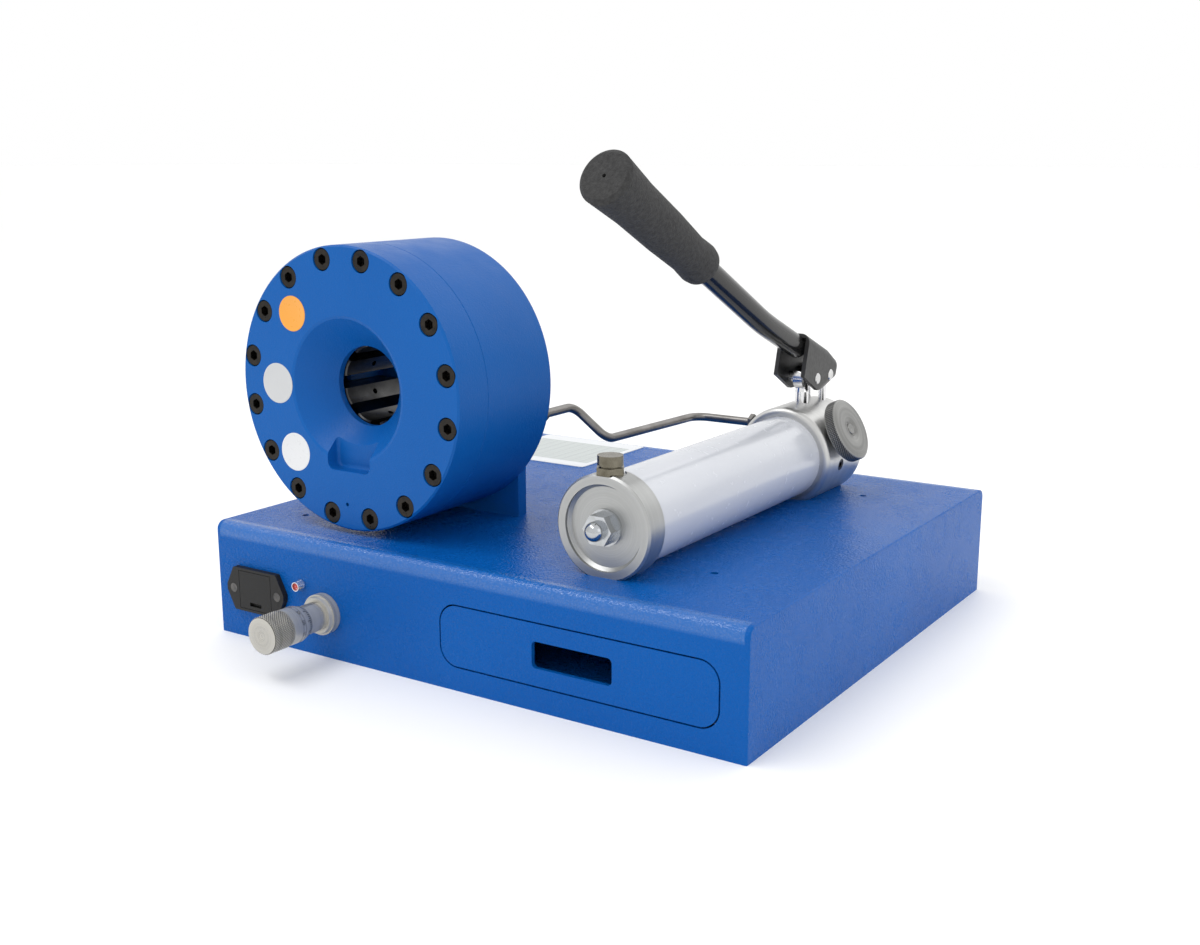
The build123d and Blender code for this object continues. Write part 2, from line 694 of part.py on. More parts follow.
def make_segments():
    seat_radius = closed_bore_radius + die_thick
    front = cover_thick + jaw_face_gap
    at = (head_x, head_y, head_z)
    cone_end = front + jaw_cone_length
    tail_radius = seat_radius + jaw_tail_thick
    jaw = turned([
        (front, seat_radius), (front, jaw_cone_radius),
        (cone_end, jaw_cone_radius - drive_ratio * jaw_cone_length), (cone_end, tail_radius),
        (front + jaw_length, tail_radius), (front + jaw_length, seat_radius)], at)
    jaw = jaw & sector(front, jaw_length)
    short = spring_pocket_depth + side_gap
    opening = 2 * jaw_stroke * math.sin(math.radians(half_sector))
    deep = short + opening + spring_end_gap
    jaws = [jaw, jaw]
    for side in (-1, 1):
        jaws[0] = jaws[0] - spring_pocket(side, spring_pocket_radius, deep, deep)
        jaws[1] = jaws[1] - spring_pocket(side, spring_pocket_radius, short, short)
    die_front = front - die_nose
    die_end = die_front + die_length
    die = turned([
        (die_front + die_chamfer, closed_bore_radius), (die_front, closed_bore_radius + die_chamfer),
        (die_front, seat_radius), (die_end, seat_radius), (die_end, closed_bore_radius + die_chamfer),
        (die_end - die_chamfer, closed_bore_radius)], at)
    die = die & sector(die_front, die_length)
    die -= rod(die_hole_radius, die_thick * 0.7,
               (head_x + closed_bore_radius - 1, head_y + (die_front + die_end) / 2, head_z), (1, 0, 0))
    springs = [spring_pocket(side, spring_radius, short, 2 * short + opening) for side in (-1, 1)]
    for number in range(segment_count):
        save(f"master_jaw_{number + 1}", place(jaws[number % 2], number))
        save(f"die_segment_{number + 1}", place(die, number))
        if number % 2:
            save(f"jaw_springs_{number + 1}", *[place(spring, number) for spring in springs])


# ---------------------------------------------------------------- pump
def make_pump():
    at = (pump_x, cap_front_y, pump_z)
    spigot = tube_radius - tube_wall - spigot_gap
    bore = tie_rod_radius + screw_fit
    floor_radius = cap_recess_radius - cap_recess_depth / 2
    cap = turned([
        (cap_recess_depth, bore), (cap_recess_depth, floor_radius),
        (cap_recess_depth / 2, cap_recess_radius),
        (0, cap_recess_radius), (0, cap_radius - edge_break), (edge_break, cap_radius),
        (cap_length, cap_radius), (cap_length, spigot), (cap_length + spigot_length, spigot),
        (cap_length + spigot_length, bore)], at)
    cap -= block(4 * cap_radius, 4 * cap_length, 2 * cap_radius,
                 (pump_x, cap_front_y, base_height - 2 * cap_radius))
    plug_seat = pump_z + math.sqrt(cap_radius ** 2 - plug_stem_radius ** 2) - edge_break
    cap -= rod(plug_top_radius + 2, 2 * cap_radius, (pump_x, plug_y, plug_seat), (0, 0, 1))
    cap -= rod(plug_stem_radius + screw_fit, 2 * cap_radius,
               (pump_x, plug_y, plug_seat - plug_bite), (0, 0, 1))

    block_body = turned([
        (-spigot_length, 0), (-spigot_length, spigot), (0, spigot), (0, block_radius),
        (block_length - edge_break, block_radius),
        (block_length, block_radius - edge_break), (block_length, 0)], (pump_x, block_front_y, pump_z))
    shoulder = [edge for edge in block_body.edges().filter_by(GeomType.CIRCLE)
                if abs(edge.radius - block_radius) < edge_break / 2
                and abs(edge.center().Y - block_front_y) < edge_break / 2]
    block_body = fillet(shoulder, block_round)
    block_body -= block(4 * block_radius, 4 * block_length, 2 * block_radius,
                        (pump_x, block_front_y, base_height - 2 * block_radius))
    block_body -= rod(tie_rod_radius + screw_fit, tie_rod_bite + spigot_length,
                      (pump_x, block_front_y - spigot_length, pump_z), (0, 1, 0))
    block_body -= rod(piston_radius + running_gap, 2 * block_radius,
                      (pump_x, piston_y, block_top - piston_depth - piston_room), (0, 0, 1))
    for side in (-1, 1):
        block_body -= rod(link_radius + screw_fit, 2 * block_radius,
                          (pump_x + side * link_offset, fulcrum_y, block_top - link_socket), (0, 0, 1))
    x, z = polar(valve_angle, 1.0)
    stem_tip = block_radius + knob_standoff - valve_stem_bite
    block_body -= rod(valve_stem_radius + running_gap, 2 * block_radius,
                      (pump_x + stem_tip * x, valve_y, pump_z + stem_tip * z), (x, 0, z))
    rx, rz = polar(relief_angle, 1.0)
    plug_tip = block_radius - relief_bite
    block_body -= rod(relief_radius + screw_fit, 2 * block_radius,
                      (pump_x + plug_tip * rx, relief_y, pump_z + plug_tip * rz), (rx, 0, rz))
    port_y = block_front_y + block_port_set
    port_z = pump_z + block_port_rise
    block_body -= rod(fitting_radius + screw_fit, 2 * block_radius, (port_x(), port_y, port_z),
                      (-1, 0, 0))
    for spot in mount_points()[2:]:
        hole = rod(mount_screw_radius + screw_fit, mount_screw_bite + 1, (*spot, base_height), (0, 0, 1))
        cap -= hole
        block_body -= hole
    save("pump_front_cap", cap)
    save("pump_block", block_body)
    save("reservoir_tube", tube_solid(tube_radius, tube_radius - tube_wall, block_front_y - cap_rear_y,
                                      (pump_x, cap_rear_y, pump_z), (0, 1, 0)))

    seat_y = cap_front_y + cap_recess_depth
    nut_y = seat_y - washer_thick
    rod_start = nut_y - nut_height + 1
    save("tie_rod", rod(tie_rod_radius, block_front_y + tie_rod_bite - rod_start,
                        (pump_x, rod_start, pump_z), (0, 1, 0)))
    washer = tube_solid(washer_radius, bore, washer_thick, (pump_x, nut_y, pump_z), (0, 1, 0))
    nut = hexagon(nut_flats, nut_height, (pump_x, nut_y - nut_height, pump_z), (0, 1, 0), 30)
    dome_at = (pump_x, nut_y - nut_height, pump_z)
    nut += rod(dome_radius, nut_neck, (pump_x, dome_at[1] - nut_neck, pump_z), (0, 1, 0))
    nut += Pos(pump_x, dome_at[1] - nut_neck, pump_z) * Sphere(dome_radius)
    nut -= rod(bore, nut_height - 1 + screw_fit, (pump_x, rod_start - screw_fit, pump_z), (0, 1, 0))
    save("cap_nut", nut, washer)

    plug = rod(plug_stem_radius, plug_bite, (pump_x, plug_y, plug_seat - plug_bite), (0, 0, 1))
    plug += hexagon(plug_flats, plug_hex_height, (pump_x, plug_y, plug_seat), (0, 0, 1))
    neck_z = plug_seat + plug_hex_height
    plug += rod(plug_top_radius - edge_break, edge_break, (pump_x, plug_y, neck_z), (0, 0, 1))
    plug += rod(plug_top_radius, plug_top_height - edge_break,
                (pump_x, plug_y, neck_z + edge_break), (0, 0, 1))
    save("filler_plug", plug)

    knob_at = block_radius + knob_standoff
    spot = (pump_x + knob_at * x, valve_y, pump_z + knob_at * z)
    knob = turned([
        (0, 0), (0, knob_radius - knob_chamfer), (knob_chamfer, knob_radius),
        (knob_thick - knob_chamfer, knob_radius), (knob_thick, knob_radius - knob_chamfer),
        (knob_thick, knob_recess_radius), (knob_thick - knob_recess_depth, knob_recess_radius),
        (knob_thick - knob_recess_depth, knob_recess_radius - 2),
        (knob_thick - 0.3, knob_recess_radius - 2),
        (knob_thick - 0.3, 0)], spot, (x, 0, z), (0, 1, 0))
    knob += rod(valve_stem_radius, valve_stem_bite, spot, (-x, 0, -z))
    save("release_knob", knob)
    relief_at = block_radius - 0.4
    relief = cap_screw(relief_radius, relief_radius, 4, relief_bite - 4.5,
                       (pump_x + relief_at * rx, relief_y, pump_z + relief_at * rz), (-rx, 0, -rz),
                       4.0, 3.0)
    save("relief_plug", relief)


def port_x():
    """Bottom of the pipe port in the pump block."""
    return pump_x - math.sqrt(block_radius ** 2 - block_port_rise ** 2) + 2 * fitting_radius


def make_mount_screws():
    screws = []
    for x, y in mount_points():
        start = (x, y, base_height - sheet - mount_screw_head_height)
        screws.append(cap_screw(mount_screw_radius, mount_screw_head, mount_screw_head_height,
                                sheet + mount_screw_bite, start, (0, 0, 1), 5.0, 3.0))
    for x, z in foot_screw_points():
        start = (x, head_rear_y + foot_thick + mount_screw_head_height, z)
        screws.append(cap_screw(mount_screw_radius, mount_screw_head, mount_screw_head_height,
                                foot_thick + mount_screw_bite, start, (0, -1, 0), 5.0, 3.0))
    save("mount_screws", *screws)


# ---------------------------------------------------------------- lever
def make_piston():
    at = (pump_x, piston_y, block_top - piston_depth)
    straight = piston_depth + piston_shoulder
    neck = piston_eye_thick / 2
    tip = straight + piston_cone
    plunger = turned([(0, 0), (0, piston_radius), (straight, piston_radius), (tip, neck), (tip, 0)],
                     at, (0, 0, 1), (1, 0, 0))
    eye = Plane(origin=(pump_x, piston_y, pin_z), x_dir=(0, 1, 0), z_dir=(1, 0, 0))
    shape = Circle(piston_eye_radius)
    tang = extrude(eye * shape, amount=piston_eye_thick / 2, both=True)
    slot = SlotOverall(2 * (pin_radius + pin_run), 2 * (pin_radius + pin_slip))
    slot = extrude(eye * slot, amount=piston_radius, both=True)
    save("pump_piston", plunger + tang - slot)

    links = []
    for side in (-1, 1):
        x = pump_x + side * link_offset
        foot = block_top - link_socket
        post = rod(link_radius, pin_z - foot, (x, fulcrum_y, foot), (0, 0, 1))
        disc = rod(link_eye_radius, link_eye_thick, (x - link_eye_thick / 2, fulcrum_y, pin_z), (1, 0, 0))
        hole = rod(pin_radius + running_gap, 4 * link_eye_thick,
                   (x - 2 * link_eye_thick, fulcrum_y, pin_z), (1, 0, 0))
        links.append(post + disc - hole)
    save("fulcrum_links", *links)


def lever_points():
    foot_y = fulcrum_y - lever_foot_ahead
    foot_z = pin_z + lever_foot_rise
    low = math.radians(lever_lower_slope)
    high = math.radians(lever_upper_slope)
    bend = (foot_y - lever_lower_run * math.cos(low), foot_z + lever_lower_run * math.sin(low))
    end = (bend[0] - lever_upper_run * math.cos(high), bend[1] + lever_upper_run * math.sin(high))
    return [(pump_x, foot_y, foot_z), (pump_x, *bend), (pump_x, *end)]


def make_lever():
    foot, bend, end = [Vector(*point) for point in lever_points()]
    path = FilletPolyline(foot, bend, end, radius=lever_bend_radius)
    start = Plane(origin=foot, x_dir=(1, 0, 0), z_dir=(bend - foot).normalized())
    skin = sweep(start * Circle(lever_radius), path=path)
    bore = sweep(start * Circle(lever_radius - lever_wall), path=path)
    save("lever_tube", skin - bore)

    low = math.radians(lever_lower_slope)
    top = lambda y: foot.Z + lever_radius / math.cos(low) - (y - foot.Y) * math.tan(low)
    nose_y = piston_y - pin_spacing
    tail_y = fulcrum_y + 4.4 * pin_radius
    outline = [(nose_y, pin_z + pin_radius), (nose_y + 8, top(nose_y + 8)), (fulcrum_y, top(fulcrum_y)),
               (tail_y, pin_z + 2 * pin_radius), (tail_y - 4, pin_z - 4.4), (fulcrum_y - 3, pin_z - 9),
               (piston_y + 1, pin_z - 8.6)]
    clevis = side_outline(outline, pump_x, cheek_half_width, [(2, 9.0), (3, 7.0), (4, 2.0)])
    slope = (0, math.cos(low), -math.sin(low))
    ridge = [edge for edge in clevis.edges().filter_by(Axis((0, 0, 0), slope), tolerance=1.0)
             if edge.center().Z > pin_z + 10]
    clevis = fillet(ridge, cheek_half_width * 0.55)
    inner = cheek_half_width - cheek_thick
    roof = [(nose_y - 10, 0), (nose_y - 10, top(nose_y - 10) - cheek_thick),
            (tail_y + 20, top(tail_y + 20) - cheek_thick), (tail_y + 20, 0)]
    clevis -= side_outline(roof, pump_x, inner)
    clevis -= rod(lever_radius + screw_fit, 60, foot - Vector(*slope) * 60, slope)
    pins = []
    for y in (piston_y, fulcrum_y):
        clevis -= rod(pin_radius + screw_fit, 4 * cheek_half_width,
                      (pump_x - 2 * cheek_half_width, y, pin_z), (1, 0, 0))
        half = cheek_half_width + 0.6
        pins.append(turned([(-half, 0), (-half, pin_radius - 0.5), (0.5 - half, pin_radius),
                            (half - 0.5, pin_radius), (half, pin_radius - 0.5), (half, 0)],
                           (pump_x, y, pin_z), (1, 0, 0), (0, 0, 1)))
    save("lever_clevis", clevis)
    save("clevis_pins", *pins)

    along = (bend - end).normalized()
    lip = grip_length - 4
    bore_radius = lever_radius + running_gap
    profile = [
        (grip_hole_depth - grip_end_wall, 0), (grip_hole_depth - grip_end_wall, grip_hole_radius),
        (-grip_end_wall, grip_hole_radius), (-grip_end_wall, grip_end_radius - 2.5),
        (2.5 - grip_end_wall, grip_end_radius), (12, grip_end_radius - 1.0), (28, grip_waist_radius),
        (grip_length * 0.55, grip_waist_radius - 0.6),
        (grip_length * 0.82, grip_neck_radius), (lip - 12, grip_neck_radius + 0.4),
        (lip - 4, grip_lip_radius), (lip, grip_lip_radius - 0.6),
        (grip_length - grip_end_wall, grip_lip_radius - 3.4), (grip_length - grip_end_wall, bore_radius),
        (0, bore_radius), (0, 0)]
    save("foam_grip", turned(profile, tuple(end), tuple(along), (1, 0, 0)))


# ---------------------------------------------------------------- pressure pipe
def make_pipe():
    x, z = polar(port_angle, port_radius_at)
    port = Vector(head_x + x, head_rear_y, head_z + z)
    union = rod(fitting_radius, rear_wall + fitting_out, (port.X, head_rear_y - rear_wall, port.Z),
                (0, 1, 0))
    union += hexagon(fitting_flats, fitting_hex, tuple(port), (0, 1, 0))
    pipe_start = port + Vector(0, fitting_out - fitting_radius, 0)
    union -= rod(pipe_radius + screw_fit, fitting_out, tuple(pipe_start), (0, 1, 0))

    port_y = block_front_y + block_port_set
    port_z = pump_z + block_port_rise
    inner = port_x()
    outer = pump_x - math.sqrt(block_radius ** 2 - block_port_rise ** 2) - fitting_out
    adapter = rod(fitting_radius, inner - outer, (inner, port_y, port_z), (-1, 0, 0))
    adapter += hexagon(fitting_flats, fitting_hex, (outer, port_y, port_z), (1, 0, 0))
    pipe_end = Vector(outer + fitting_radius, port_y, port_z)
    adapter -= rod(pipe_radius + screw_fit, 2 * fitting_out, (pipe_end.X, port_y, port_z), (-1, 0, 0))
    save("pipe_fittings", union, adapter)

    first = port + Vector(0, pipe_lead, 0)
    second = Vector(port.X + pipe_drop_x, first.Y + pipe_drop_y, port_z + pipe_fall)
    third = Vector(second.X + pipe_side_step, port_y, port_z)
    path = FilletPolyline(pipe_start, first, second, third, pipe_end, radius=pipe_bend)
    start = Plane(origin=pipe_start, z_dir=(0, 1, 0))
    save("pressure_pipe", sweep(start * Circle(pipe_radius), path=path))


make_cabinet()
make_drawer()
make_inlet()
make_micrometer()
make_head()
make_ring()
make_segments()
make_pump()
make_mount_screws()
make_piston()
make_lever()
make_pipe()
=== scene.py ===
import math
import bmesh
import bpy
from mathutils import Matrix, Vector


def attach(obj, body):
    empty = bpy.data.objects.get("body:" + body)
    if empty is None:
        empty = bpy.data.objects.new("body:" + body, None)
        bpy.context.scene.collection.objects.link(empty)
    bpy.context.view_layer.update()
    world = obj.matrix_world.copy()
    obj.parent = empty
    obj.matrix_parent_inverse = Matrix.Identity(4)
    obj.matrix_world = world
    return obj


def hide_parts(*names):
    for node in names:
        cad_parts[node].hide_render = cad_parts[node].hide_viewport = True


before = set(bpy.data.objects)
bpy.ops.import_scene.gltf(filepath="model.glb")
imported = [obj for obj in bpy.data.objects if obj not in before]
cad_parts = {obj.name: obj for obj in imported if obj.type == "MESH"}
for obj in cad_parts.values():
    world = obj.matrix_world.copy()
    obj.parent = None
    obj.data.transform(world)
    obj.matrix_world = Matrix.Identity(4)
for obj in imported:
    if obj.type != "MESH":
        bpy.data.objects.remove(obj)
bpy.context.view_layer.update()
print("stage: frame loaded")

mm = 0.001


def makeObject(name, mesh, body, material=None):
    obj = bpy.data.objects.new(name, mesh)
    bpy.context.scene.collection.objects.link(obj)
    if material:
        mesh.materials.append(material)
    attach(obj, body)
    return obj


def meshFrom(bm, name, smoothAngle=35):
    mesh = bpy.data.meshes.new(name)
    bm.normal_update()
    limit = math.radians(smoothAngle)
    for face in bm.faces:
        face.smooth = True
    for edge in bm.edges:
        edge.smooth = len(edge.link_faces) == 2 and edge.calc_face_angle(0) < limit
    bm.to_mesh(mesh)
    bm.free()
    return mesh


# a frame at a point whose Z runs along a direction, from millimetres to metres
def along(origin, direction, side):
    z = Vector(direction).normalized()
    x = (Vector(side) - z * Vector(side).dot(z)).normalized()
    y = z.cross(x)
    turn = Matrix((x, y, z)).transposed().to_4x4()
    return Matrix.Translation(Vector(origin) * mm) @ turn @ Matrix.Scale(mm, 4)


# spins a profile of (distance along, radius) round Z; shape may change a point's radius by distance and angle
def lathe(name, profile, matrix, steps, shape=None, smoothAngle=35):
    bm = bmesh.new()
    verts = [bm.verts.new((radius, 0, dist)) for dist, radius in profile]
    edges = [bm.edges.new(pair) for pair in zip(verts, verts[1:])]
    bmesh.ops.spin(bm, geom=verts + edges, cent=(0, 0, 0), axis=(0, 0, 1), angle=2 * math.pi, steps=steps,
                   use_merge=True)
    bmesh.ops.remove_doubles(bm, verts=bm.verts, dist=0.00001)  # closes the poles
    for vert in bm.verts if shape else ():
        x, y, dist = vert.co
        radius = math.hypot(x, y)
        angle = math.atan2(y, x)
        moved = shape(dist, angle, radius)
        vert.co = (moved * math.cos(angle), moved * math.sin(angle), dist)
    bmesh.ops.transform(bm, matrix=matrix, verts=bm.verts)
    bmesh.ops.recalc_face_normals(bm, faces=bm.faces)
    return meshFrom(bm, name, smoothAngle)


# ---- material helpers
def newMaterial(name):
    material = bpy.data.materials.new(name)
    material.use_nodes = True
    tree = material.node_tree
    return material, tree, tree.nodes["Principled BSDF"]


def objectCoords(tree):
    return tree.nodes.new("ShaderNodeTexCoord").outputs["Object"]


# a number goes into a socket as its value, and another socket is linked to it
def feed(tree, socket, value):
    if isinstance(value, bpy.types.NodeSocket):
        tree.links.new(value, socket)
    elif isinstance(value, tuple) and socket.type == "RGBA":
        socket.default_value = (*value, 1)
    else:
        socket.default_value = value


def noise(tree, vector, scale, detail=2.0, rough=0.5, stretch=None):
    if stretch:
        mapping = tree.nodes.new("ShaderNodeMapping")
        feed(tree, mapping.inputs["Scale"], stretch)
        feed(tree, mapping.inputs["Vector"], vector)
        vector = mapping.outputs["Vector"]
    tex = tree.nodes.new("ShaderNodeTexNoise")
    feed(tree, tex.inputs["Scale"], scale)
    feed(tree, tex.inputs["Detail"], detail)
    feed(tree, tex.inputs["Roughness"], rough)
    feed(tree, tex.inputs["Vector"], vector)
    return tex.outputs["Fac"]


def cells(tree, vector, scale, output="Distance"):
    tex = tree.nodes.new("ShaderNodeTexVoronoi")
    feed(tree, tex.inputs["Scale"], scale)
    feed(tree, tex.inputs["Vector"], vector)
    return tex.outputs[output]


def remap(tree, value, low, high, toLow, toHigh):
    ranged = tree.nodes.new("ShaderNodeMapRange")
    for name, number in zip(("From Min", "From Max", "To Min", "To Max"), (low, high, toLow, toHigh)):
        ranged.inputs[name].default_value = number
    feed(tree, ranged.inputs["Value"], value)
    return ranged.outputs["Result"]


def calc(tree, operation, *values):
    node = tree.nodes.new("ShaderNodeMath")
    node.operation = operation
    for socket, value in zip(node.inputs, values):
        feed(tree, socket, value)
    return node.outputs["Value"]


def blend(tree, first, second, share):
    return calc(tree, "ADD", calc(tree, "MULTIPLY", first, share), calc(tree, "MULTIPLY", second, 1 - share))


def mixColors(tree, factor, first, second):
    mix = tree.nodes.new("ShaderNodeMix")
    mix.data_type = "RGBA"
    colorA, colorB = [socket for socket in mix.inputs if socket.type == "RGBA"]
    feed(tree, mix.inputs["Factor"], factor)
    feed(tree, colorA, first)
    feed(tree, colorB, second)
    return [socket for socket in mix.outputs if socket.type == "RGBA"][0]


def bump(tree, shader, height, distance):
    node = tree.nodes.new("ShaderNodeBump")
    node.inputs["Distance"].default_value = distance
    node.inputs["Strength"].default_value = 1.0
    feed(tree, node.inputs["Height"], height)
    tree.links.new(node.outputs["Normal"], shader.inputs["Normal"])


def finish(shader, metallic=0.0, coat=0.0, coatRough=0.1, roughness=None, specular=0.5):
    values = {"Specular IOR Level": specular, "Metallic": metallic, "Coat Weight": coat,
              "Coat Roughness": coatRough, "IOR": 1.5}
    if roughness is not None:
        values["Roughness"] = roughness
    for name, value in values.items():
        shader.inputs[name].default_value = value


# ---- node groups: each is built once, and every material of its kind places it with values of its own
def newGroup(name, inputs, outputs):
    tree = bpy.data.node_groups.new(name, "ShaderNodeTree")
    for side, sockets in (("INPUT", inputs), ("OUTPUT", outputs)):
        for label, kind in sockets.items():
            tree.interface.new_socket(label, in_out=side, socket_type="NodeSocket" + kind)
    return tree, tree.nodes.new("NodeGroupInput").outputs, tree.nodes.new("NodeGroupOutput").inputs


def placeGroup(tree, group, **values):
    node = tree.nodes.new("ShaderNodeGroup")
    node.node_tree = group
    tree.links.new(objectCoords(tree), node.inputs["Place"])
    for label, value in values.items():
        feed(tree, node.inputs[label[0].upper() + label[1:]], value)
    return node.outputs


def makePowderGrain():
    tree, given, out = newGroup(
        "powderGrain", {"Place": "Vector", "Color": "Color", "Dark": "Color", "Light": "Color", "Grain": "Float",
                        "Roughness": "Float"},
        {"Color": "Color", "Roughness": "Float", "Height": "Float", "Speck": "Float"})
    place, grain = given["Place"], given["Grain"]
    tone = noise(tree, place, 9.0, 3.0)
    speck = noise(tree, place, calc(tree, "MULTIPLY", grain, 1.7), 2.0)
    base = mixColors(tree, remap(tree, tone, 0.3, 0.7, 0, 1), given["Dark"], given["Color"])
    base = mixColors(tree, remap(tree, speck, 0.62, 0.8, 0, 0.35), base, given["Light"])
    cloud = remap(tree, noise(tree, place, 60.0, 3.0), 0.3, 0.7, -0.05, 0.07)
    fine = noise(tree, place, grain, 2.0, 0.55)
    coarse = noise(tree, place, calc(tree, "MULTIPLY", grain, 0.45), 1.0)
    feed(tree, out["Color"], base)
    feed(tree, out["Roughness"], calc(tree, "ADD", given["Roughness"], cloud))
    feed(tree, out["Height"], calc(tree, "ADD", fine, calc(tree, "MULTIPLY", coarse, 0.3)))
    feed(tree, out["Speck"], speck)
    return tree


# lathe marks: rings round an axis, with the distance from it and the position along it
def makeTurnedMarks():
    tree, given, out = newGroup(
        "turnedMarks", {"Place": "Vector", "Center": "Vector", "Axis": "Vector", "Color": "Color", "Dark": "Color",
                        "Pitch": "Float", "Roughness": "Float"},
        {"Color": "Color", "Roughness": "Float", "Height": "Float", "Radius": "Float", "Dist": "Float"})
    def vectorMath(operation, output, *values):
        node = tree.nodes.new("ShaderNodeVectorMath")
        node.operation = operation
        for socket, value in zip(node.inputs, values):
            feed(tree, socket, value)
        return node.outputs[output]
    shift = vectorMath("SUBTRACT", "Vector", given["Place"], given["Center"])
    dist = vectorMath("DOT_PRODUCT", "Value", shift, given["Axis"])
    length = vectorMath("LENGTH", "Value", shift)
    square = calc(tree, "SUBTRACT", calc(tree, "POWER", length, 2.0),
                  calc(tree, "POWER", calc(tree, "ABSOLUTE", dist), 2.0))
    radius = calc(tree, "SQRT", calc(tree, "MAXIMUM", square, 0.0))
    pack = tree.nodes.new("ShaderNodeCombineXYZ")
    feed(tree, pack.inputs["X"], radius)
    feed(tree, pack.inputs["Y"], dist)
    rings = pack.outputs["Vector"]
    lines = noise(tree, rings, given["Pitch"], 3.0, 0.7)
    wide = noise(tree, rings, calc(tree, "DIVIDE", given["Pitch"], 14.0), 2.0, 0.6)
    cloud = noise(tree, given["Place"], 45.0, 4.0, 0.6)
    tone = blend(tree, lines, wide, 0.5)
    base = mixColors(tree, remap(tree, tone, 0.35, 0.65, 0, 1), given["Dark"], given["Color"])
    base = mixColors(tree, remap(tree, cloud, 0.55, 0.8, 0, 0.35), base, given["Dark"])
    feed(tree, out["Color"], base)
    rough = remap(tree, tone, 0.3, 0.7, -0.07, 0.1)
    feed(tree, out["Roughness"], calc(tree, "ADD", given["Roughness"], rough))
    feed(tree, out["Height"], lines)
    feed(tree, out["Radius"], radius)
    feed(tree, out["Dist"], dist)
    return tree


def makeMetalGrain():
    tree, given, out = newGroup(
        "metalGrain", {"Place": "Vector", "Color": "Color", "Dark": "Color", "Cloud": "Float", "Grain": "Float",
                       "Stretch": "Vector", "Roughness": "Float"},
        {"Color": "Color", "Roughness": "Float", "Height": "Float"})
    cloud = noise(tree, given["Place"], given["Cloud"], 4.0, 0.6)
    lines = noise(tree, given["Place"], given["Grain"], 3.0, 0.6, given["Stretch"])
    feed(tree, out["Color"], mixColors(tree, remap(tree, cloud, 0.35, 0.7, 0, 1), given["Color"], given["Dark"]))
    rough = remap(tree, blend(tree, cloud, lines, 0.4), 0.3, 0.7, -0.06, 0.1)
    feed(tree, out["Roughness"], calc(tree, "ADD", given["Roughness"], rough))
    feed(tree, out["Height"], lines)
    return tree


def makeMouldedGrain():
    tree, given, out = newGroup(
        "mouldedGrain", {"Place": "Vector", "Color": "Color", "Light": "Color", "Grain": "Float",
                         "Roughness": "Float"},
        {"Color": "Color", "Roughness": "Float", "Height": "Float"})
    grit = noise(tree, given["Place"], given["Grain"], 3.0, 0.6)
    tone = noise(tree, given["Place"], 40.0, 3.0)
    feed(tree, out["Color"], mixColors(tree, tone, given["Color"], given["Light"]))
    rough = remap(tree, grit, 0.3, 0.7, -0.05, 0.08)
    feed(tree, out["Roughness"], calc(tree, "ADD", given["Roughness"], rough))
    feed(tree, out["Height"], grit)
    return tree


powderGrain = makePowderGrain()
turnedMarks = makeTurnedMarks()
metalGrain = makeMetalGrain()
mouldedGrain = makeMouldedGrain()


# bend gives x, y, z, near and far in mm: half an edge's length, its centre, and the reach of its glossier coat,
# whose colour is also painted lighter there as a painted highlight
def powderCoat(name, color, dark, grain, distance, roughness, specular, bend=None):
    material, tree, shader = newMaterial(name)
    light = tuple(min(1, c * 1.5) for c in color)
    coat = placeGroup(tree, powderGrain, color=color, dark=dark, light=light, grain=grain, roughness=roughness)
    base, rough = coat["Color"], coat["Roughness"]
    if bend:
        x, y, z, near, far = (value * mm for value in bend)
        split = tree.nodes.new("ShaderNodeSeparateXYZ")
        tree.links.new(objectCoords(tree), split.inputs["Vector"])
        across = calc(tree, "SUBTRACT", calc(tree, "ABSOLUTE", split.outputs["Y"]), y)
        up = calc(tree, "SUBTRACT", split.outputs["Z"], z)
        reach = calc(tree, "ADD", calc(tree, "MULTIPLY", across, across), calc(tree, "MULTIPLY", up, up))
        reach = calc(tree, "SQRT", reach)
        inside = calc(tree, "LESS_THAN", calc(tree, "ABSOLUTE", split.outputs["X"]), x)
        edge = calc(tree, "MULTIPLY", inside, remap(tree, reach, near, far, 1, 0))
        glint = calc(tree, "MULTIPLY", edge, remap(tree, coat["Speck"], 0.50, 0.60, 0.45, 1))
        # painted highlight: the coat's colour turns a lighter blue along the bend
        base = mixColors(tree, calc(tree, "MULTIPLY", edge, 0.35), base, (0.02, 0.17, 0.52))
        rough = calc(tree, "MULTIPLY", rough, remap(tree, glint, 0, 1, 1, 0.45))
        gloss = remap(tree, glint, 0, 1, specular, 0.95)
        tree.links.new(gloss, shader.inputs["Specular IOR Level"])
    tree.links.new(base, shader.inputs["Base Color"])
    tree.links.new(rough, shader.inputs["Roughness"])
    bump(tree, shader, coat["Height"], distance)
    finish(shader, specular=specular)
    return material


# knurled gives low radius, high radius, near and far in mm of a knurled rim, whose grooves are darkened as painted
# shade
def turnedMetal(name, color, dark, center, axis, roughness, metallic=0.9, pitch=2600.0, knurled=None):
    material, tree, shader = newMaterial(name)
    marks = placeGroup(tree, turnedMarks, center=tuple(value * mm for value in center), axis=axis, color=color,
                       dark=dark, pitch=pitch, roughness=roughness)
    base = marks["Color"]
    if knurled:
        low, high, near, far = (value * mm for value in knurled)
        grooveShade = remap(tree, marks["Radius"], low, high, 1, 0)
        zone = calc(tree, "MULTIPLY", calc(tree, "GREATER_THAN", marks["Dist"], near),
                    calc(tree, "LESS_THAN", marks["Dist"], far))
        zone = calc(tree, "MULTIPLY", zone, calc(tree, "GREATER_THAN", marks["Radius"], low * 0.985))
        # painted shade: the knurl's grooves are darkened in the base colour where shade falls
        base = mixColors(tree, calc(tree, "MULTIPLY", grooveShade, zone), base, tuple(c * 0.12 for c in dark))
    tree.links.new(base, shader.inputs["Base Color"])
    tree.links.new(marks["Roughness"], shader.inputs["Roughness"])
    bump(tree, shader, marks["Height"], 0.00002)
    finish(shader, metallic=metallic)
    return material


